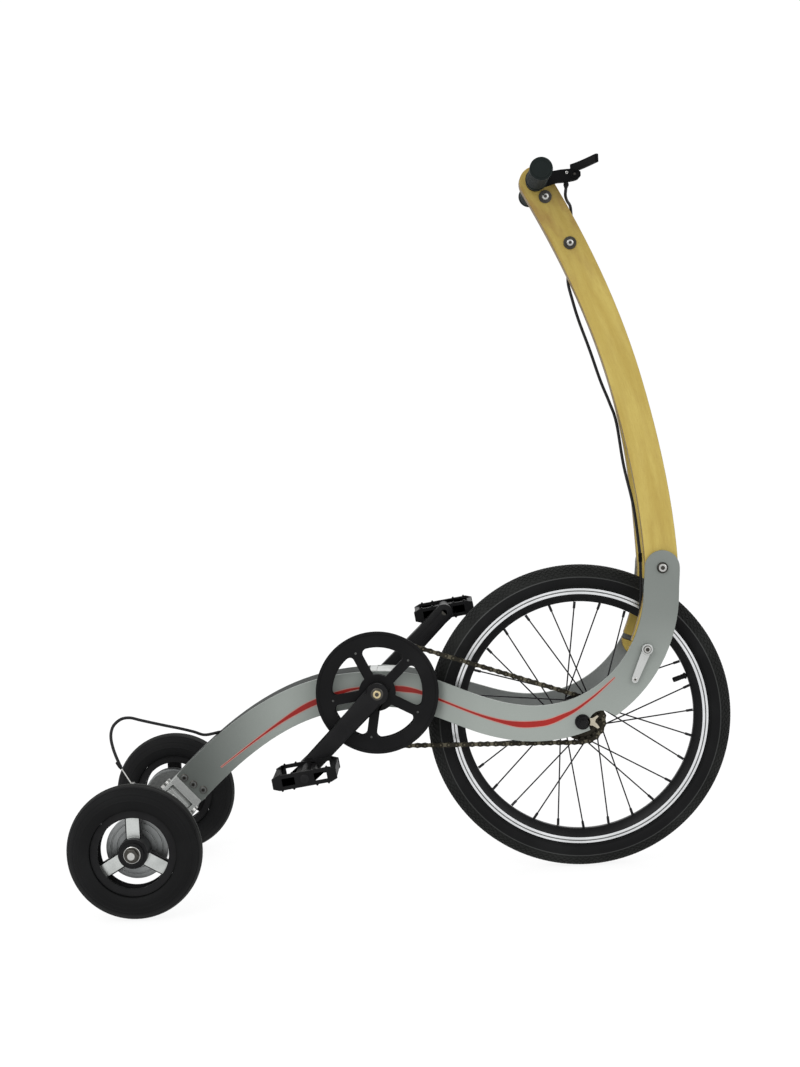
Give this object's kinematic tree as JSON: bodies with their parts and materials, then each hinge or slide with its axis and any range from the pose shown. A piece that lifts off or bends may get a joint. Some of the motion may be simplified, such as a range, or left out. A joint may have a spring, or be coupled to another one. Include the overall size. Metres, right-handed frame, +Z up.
{
  "type": "stand-up tricycle",
  "caption": "Stand-up tricycle with a chain-driven front wheel, S-curved plate frame, folding bent-wood handlebar mast and a leaning rear truck with drum brakes.",
  "frame": {"origin": "on the floor, under the middle of the wheels' outline, on the middle plane", "axes": "+X forward to the driven wheel, +Y to the rider's left, +Z up"},
  "size_m": [1.0644, 0.5346, 1.1514],
  "materials": {
    "frame_paint": "satin",
    "web_paint": "satin",
    "bare_aluminium": "brushed",
    "steel": "satin",
    "black_metal": "satin",
    "black_plastic": "matte",
    "grip_rubber": "matte",
    "tyre_rubber": "matte",
    "chain_steel": "oiled",
    "beech": "varnished",
    "cable_sleeve": "gloss"
  },
  "bodies": {
    "frame": {"plate_right": "frame_paint", "plate_left": "frame_paint", "beam_webs": "web_paint", "bearing_shell": "bare_aluminium", "front_axle": "black_metal", "pivot_bolts": "steel", "quick_releases": "bare_aluminium", "truck_base": "bare_aluminium", "lean_pin": "steel", "chain": "chain_steel", "brake_cable_frame": "cable_sleeve", "brake_cable_tail": "cable_sleeve"},
    "mast": {"leg_right": "beech", "leg_left": "beech", "handlebar": "bare_aluminium", "grip_right": "grip_rubber", "grip_left": "grip_rubber", "mast_bolts": "steel", "brake_lever": "black_metal", "brake_cable_mast": "cable_sleeve"},
    "front_wheel": {"front_tyre": "tyre_rubber", "front_rim": "black_metal", "front_spokes": "black_metal", "front_hub": "black_metal", "front_sprocket": "chain_steel", "front_valve": "cable_sleeve"},
    "crank": {"crank_spindle": "steel", "chainring": "black_metal", "chain_guard": "black_plastic", "crank_right": "black_metal", "crank_left": "black_metal", "pedal_axle_right": "steel", "pedal_axle_left": "steel"},
    "pedal_right": {"pedal_right": "black_plastic"},
    "pedal_left": {"pedal_left": "black_plastic"},
    "truck": {"truck_hanger": "bare_aluminium", "rear_axle": "steel", "brake_plates": "bare_aluminium"},
    "rear_wheel_right": {"rear_tyre_right": "tyre_rubber", "rear_wheel_right": "black_plastic", "rear_drum_right": "bare_aluminium"},
    "rear_wheel_left": {"rear_tyre_left": "tyre_rubber", "rear_wheel_left": "black_plastic", "rear_drum_left": "bare_aluminium"}
  },
  "joints": [
    {"name": "front_wheel_spin", "type": "hinge", "parent": "frame", "child": "front_wheel", "pos_m": [0.28225, 0, 0.25], "axis": [0, 1, 0], "continuous": true},
    {"name": "crank_spin", "type": "hinge", "parent": "frame", "child": "crank", "pos_m": [-0.04775, 0, 0.31], "axis": [0, 1, 0], "continuous": true},
    {"name": "pedal_right_spin", "type": "hinge", "parent": "crank", "child": "pedal_right", "pos_m": [-0.16284, 0, 0.19886], "axis": [0, 1, 0], "continuous": true},
    {"name": "pedal_left_spin", "type": "hinge", "parent": "crank", "child": "pedal_left", "pos_m": [0.06734, 0, 0.42114], "axis": [0, 1, 0], "continuous": true},
    {"name": "mast_fold", "type": "hinge", "parent": "frame", "child": "mast", "pos_m": [0.42025, 0, 0.494], "axis": [0, -1, 0], "range_deg": [0, 65], "deforming": ["brake_cable_frame"]},
    {"name": "truck_lean", "type": "hinge", "parent": "frame", "child": "truck", "pos_m": [-0.38736, 0, 0.14096], "axis": [0.6691, 0, -0.7431], "range_deg": [-20, 20], "stiffness_Nm_per_rad": 160, "deforming": ["brake_cable_tail"]},
    {"name": "rear_wheel_right_spin", "type": "hinge", "parent": "truck", "child": "rear_wheel_right", "pos_m": [-0.42675, 0, 0.1055], "axis": [0, 1, 0], "continuous": true},
    {"name": "rear_wheel_left_spin", "type": "hinge", "parent": "truck", "child": "rear_wheel_left", "pos_m": [-0.42675, 0, 0.1055], "axis": [0, 1, 0], "continuous": true}
  ]
}
